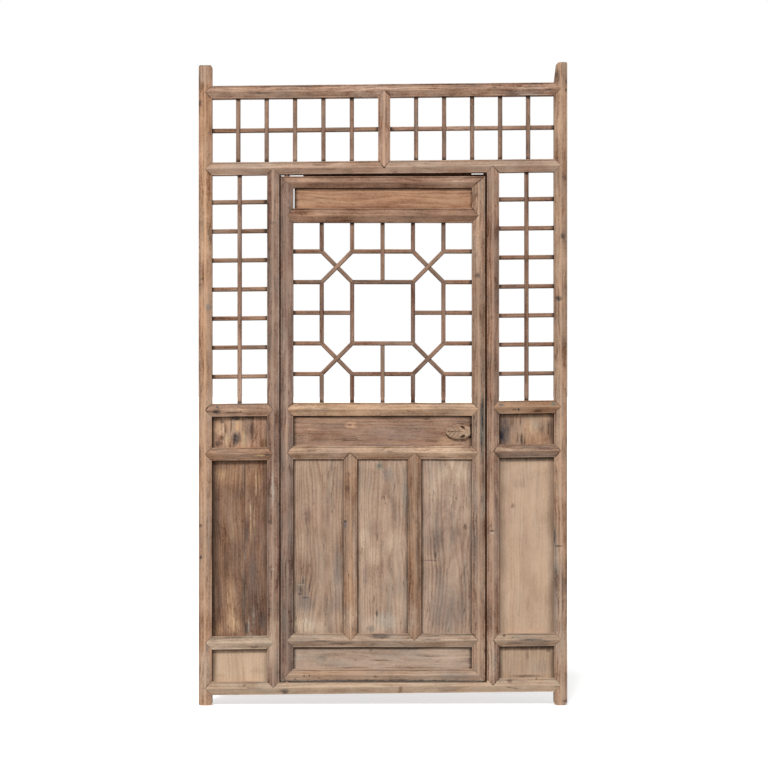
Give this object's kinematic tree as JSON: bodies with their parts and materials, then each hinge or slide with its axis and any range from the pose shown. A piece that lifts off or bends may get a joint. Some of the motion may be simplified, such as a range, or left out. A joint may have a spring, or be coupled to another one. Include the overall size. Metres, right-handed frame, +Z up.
{
  "type": "lattice door in its frame",
  "caption": "Old wooden door leaf with lattice, panels and a carved pull, pivoting on pins in a frame with lattice side bays and a lattice transom.",
  "frame": {"origin": "on the floor under the feet, at mid width and mid depth of the frame", "axes": "+X to the right as seen from the front, +Y to the back, +Z up; the face looks along -Y"},
  "size_m": [1.44, 0.055, 2.513],
  "materials": {
    "post_wood": "bare weathered wood, matt, with open grain and grey patches",
    "rail_wood": "bare weathered wood, matt, with open grain and grey patches",
    "jamb_wood": "bare weathered wood, matt, with open grain and grey patches",
    "bar_wood": "bare weathered wood, matt, with open grain and grey patches",
    "stile_wood": "bare weathered wood, matt, with open grain and grey patches",
    "dark_rail_wood": "bare weathered wood, matt, with open grain and grey patches",
    "pale_rail_wood": "bare weathered wood, matt, with open grain and grey patches",
    "panel_wood": "bare weathered wood, matt, with open grain and grey patches",
    "frieze_wood": "bare weathered wood, matt, with open grain and grey patches",
    "brown_wood": "bare weathered wood, matt, with open grain and grey patches",
    "pale_wood": "bare weathered wood, matt, with open grain and grey patches",
    "strip_wood": "bare weathered wood, matt, with open grain and grey patches",
    "pull_wood": "bare weathered wood, matt, with open grain and grey patches"
  },
  "bodies": {
    "frame": {"left_post": "post_wood", "right_post": "post_wood", "head_rail": "rail_wood", "transom_rail": "rail_wood", "sill": "rail_wood", "mullion": "rail_wood", "left_jamb": "jamb_wood", "right_jamb": "jamb_wood", "left_upper_rail": "rail_wood", "left_middle_rail": "rail_wood", "left_lower_rail": "rail_wood", "right_upper_rail": "rail_wood", "right_middle_rail": "rail_wood", "right_lower_rail": "rail_wood", "left_transom_uprights": "bar_wood", "left_transom_crossbar": "bar_wood", "right_transom_uprights": "bar_wood", "right_transom_crossbar": "bar_wood", "left_side_upright": "bar_wood", "left_side_crossbars": "bar_wood", "right_side_upright": "bar_wood", "right_side_crossbars": "bar_wood", "left_waist_outer_board": "panel_wood", "left_waist_inner_board": "panel_wood", "left_tall_outer_board": "brown_wood", "left_tall_inner_board": "brown_wood", "left_base_panel": "pale_wood", "right_waist_panel": "panel_wood", "right_tall_panel": "pale_wood", "right_base_panel": "panel_wood", "hinge_strip": "strip_wood", "head_strip": "strip_wood", "closing_strip": "strip_wood"},
    "leaf": {"hanging_stile": "stile_wood", "closing_stile": "stile_wood", "leaf_top_rail": "dark_rail_wood", "leaf_upper_rail": "dark_rail_wood", "leaf_lattice_rail": "pale_rail_wood", "leaf_waist_rail": "pale_rail_wood", "leaf_lower_rail": "rail_wood", "leaf_bottom_rail": "rail_wood", "left_muntin": "stile_wood", "right_muntin": "stile_wood", "frieze_panel": "frieze_wood", "waist_panel": "panel_wood", "left_field_panel": "panel_wood", "middle_field_panel": "panel_wood", "right_field_panel": "panel_wood", "base_panel": "panel_wood", "leaf_uprights": "bar_wood", "leaf_crossbars": "bar_wood", "rising_diagonals": "bar_wood", "falling_diagonals": "bar_wood", "carved_pull": "pull_wood"}
  },
  "joints": [
    {"name": "leaf_swing", "type": "hinge", "parent": "frame", "child": "leaf", "pos_m": [-0.3751, -0.00868, 1.08], "axis": [0, 0, -1], "range_deg": [0, 105]}
  ]
}
